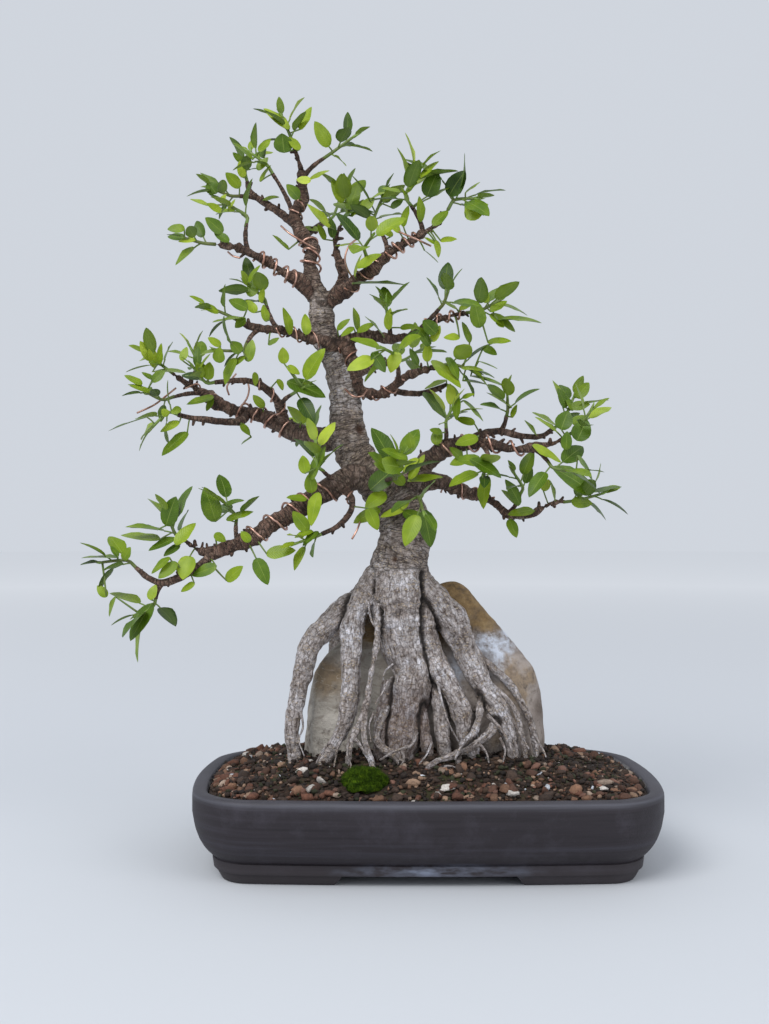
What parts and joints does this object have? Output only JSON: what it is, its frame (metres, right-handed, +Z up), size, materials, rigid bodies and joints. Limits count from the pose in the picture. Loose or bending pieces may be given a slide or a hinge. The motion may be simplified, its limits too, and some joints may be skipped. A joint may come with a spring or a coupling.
{
  "type": "ficus bonsai",
  "caption": "Ficus bonsai grown over a stone, with wired branches and green leafy shoots, in an unglazed dark clay pot",
  "frame": {"origin": "middle of the whole outline seen from above, on the surface that the feet stand on", "axes": "+Z up; +X to the right and -Y towards the viewer in the front view"},
  "size_m": [0.4356, 0.2104, 0.5926],
  "materials": {
    "clay": "unglazed dark purple-grey clay, matte",
    "gravel": "brown humus with loose gravel",
    "rock": "weathered, ochre and grey",
    "bark": "grey-brown bark with lenticels",
    "moss": "fine, soft and bright green",
    "mesh": "black, matte",
    "wire": "copper-coloured anodised wire, satin",
    "leaf": "waxy green leaf blades on green stems"
  },
  "bodies": {
    "root": {"drain_mesh_left": "mesh", "drain_mesh_right": "mesh", "moss": "moss", "pot": "clay", "shoot_crown_01": "leaf", "shoot_crown_02": "leaf", "shoot_crown_03": "leaf", "shoot_crown_04": "leaf", "shoot_crown_05": "leaf", "shoot_crown_06": "leaf", "shoot_crown_07": "leaf", "shoot_crown_08": "leaf", "shoot_crown_09": "leaf", "shoot_crown_10": "leaf", "shoot_crown_11": "leaf", "shoot_crown_12": "leaf", "shoot_crown_13": "leaf", "shoot_left_low_01": "leaf", "shoot_left_low_02": "leaf", "shoot_left_low_03": "leaf", "shoot_left_low_04": "leaf", "shoot_left_low_05": "leaf", "shoot_left_low_06": "leaf", "shoot_left_low_07": "leaf", "shoot_left_mid_01": "leaf", "shoot_left_mid_02": "leaf", "shoot_left_mid_03": "leaf", "shoot_left_mid_04": "leaf", "shoot_left_mid_05": "leaf", "shoot_left_mid_06": "leaf", "shoot_left_upper_01": "leaf", "shoot_left_upper_02": "leaf", "shoot_left_upper_03": "leaf", "shoot_right_low_01": "leaf", "shoot_right_low_02": "leaf", "shoot_right_low_03": "leaf", "shoot_right_low_04": "leaf", "shoot_right_low_05": "leaf", "shoot_right_low_06": "leaf", "shoot_right_low_07": "leaf", "shoot_right_low_08": "leaf", "shoot_right_mid_01": "leaf", "shoot_right_mid_02": "leaf", "shoot_right_mid_03": "leaf", "shoot_right_mid_04": "leaf", "shoot_right_mid_05": "leaf", "shoot_right_mid_06": "leaf", "shoot_trunk_front_01": "leaf", "shoot_trunk_front_02": "leaf", "soil": "gravel", "stone": "rock", "tree_wood": "bark", "wire_crown_left": "wire", "wire_crown_right": "wire", "wire_leader": "wire", "wire_left_low": "wire", "wire_left_mid": "wire", "wire_right_low": "wire", "wire_right_mid": "wire"}
  },
  "joints": []
}
